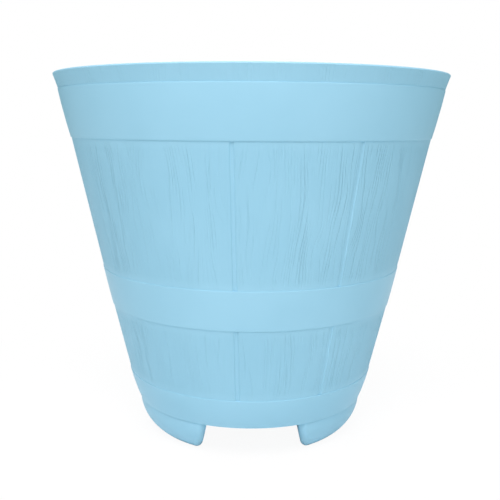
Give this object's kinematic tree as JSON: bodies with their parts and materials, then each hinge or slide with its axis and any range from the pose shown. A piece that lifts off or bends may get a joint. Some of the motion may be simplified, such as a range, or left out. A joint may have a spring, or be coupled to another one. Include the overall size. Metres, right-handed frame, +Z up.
{
  "type": "barrel planter",
  "caption": "Flared floor planter shaped like a staved, hooped barrel, moulded in plastic, on notched feet, with drain plugs and a lift-out drainage grid inside.",
  "frame": {"origin": "middle of the footprint, on the ground under the feet", "axes": "+Z up along the pot's axis; a drainage channel opens towards -Y, which is the front"},
  "size_m": [0.3999, 0.4, 0.368],
  "materials": {
    "shell": "sky-blue moulded polypropylene, satin hoops, wood-grained staves",
    "grid": "dark grey moulded polypropylene, fine spark-eroded texture",
    "plug": "soft black rubber, matt"
  },
  "bodies": {
    "pot": {"pot_shell": "shell"},
    "grid": {"drainage_grid": "grid"},
    "plug_1": {"drain_plug_1": "plug"},
    "plug_2": {"drain_plug_2": "plug"},
    "plug_3": {"drain_plug_3": "plug"}
  },
  "joints": [
    {"name": "grid_lift", "type": "slide", "parent": "pot", "child": "grid", "axis": [0, 0, 1], "range_m": [0, 0.37]},
    {"name": "plug_1_pull", "type": "slide", "parent": "pot", "child": "plug_1", "axis": [0, 0, 1], "range_m": [0, 0.012]},
    {"name": "plug_2_pull", "type": "slide", "parent": "pot", "child": "plug_2", "axis": [0, 0, 1], "range_m": [0, 0.012]},
    {"name": "plug_3_pull", "type": "slide", "parent": "pot", "child": "plug_3", "axis": [0, 0, 1], "range_m": [0, 0.012]}
  ]
}
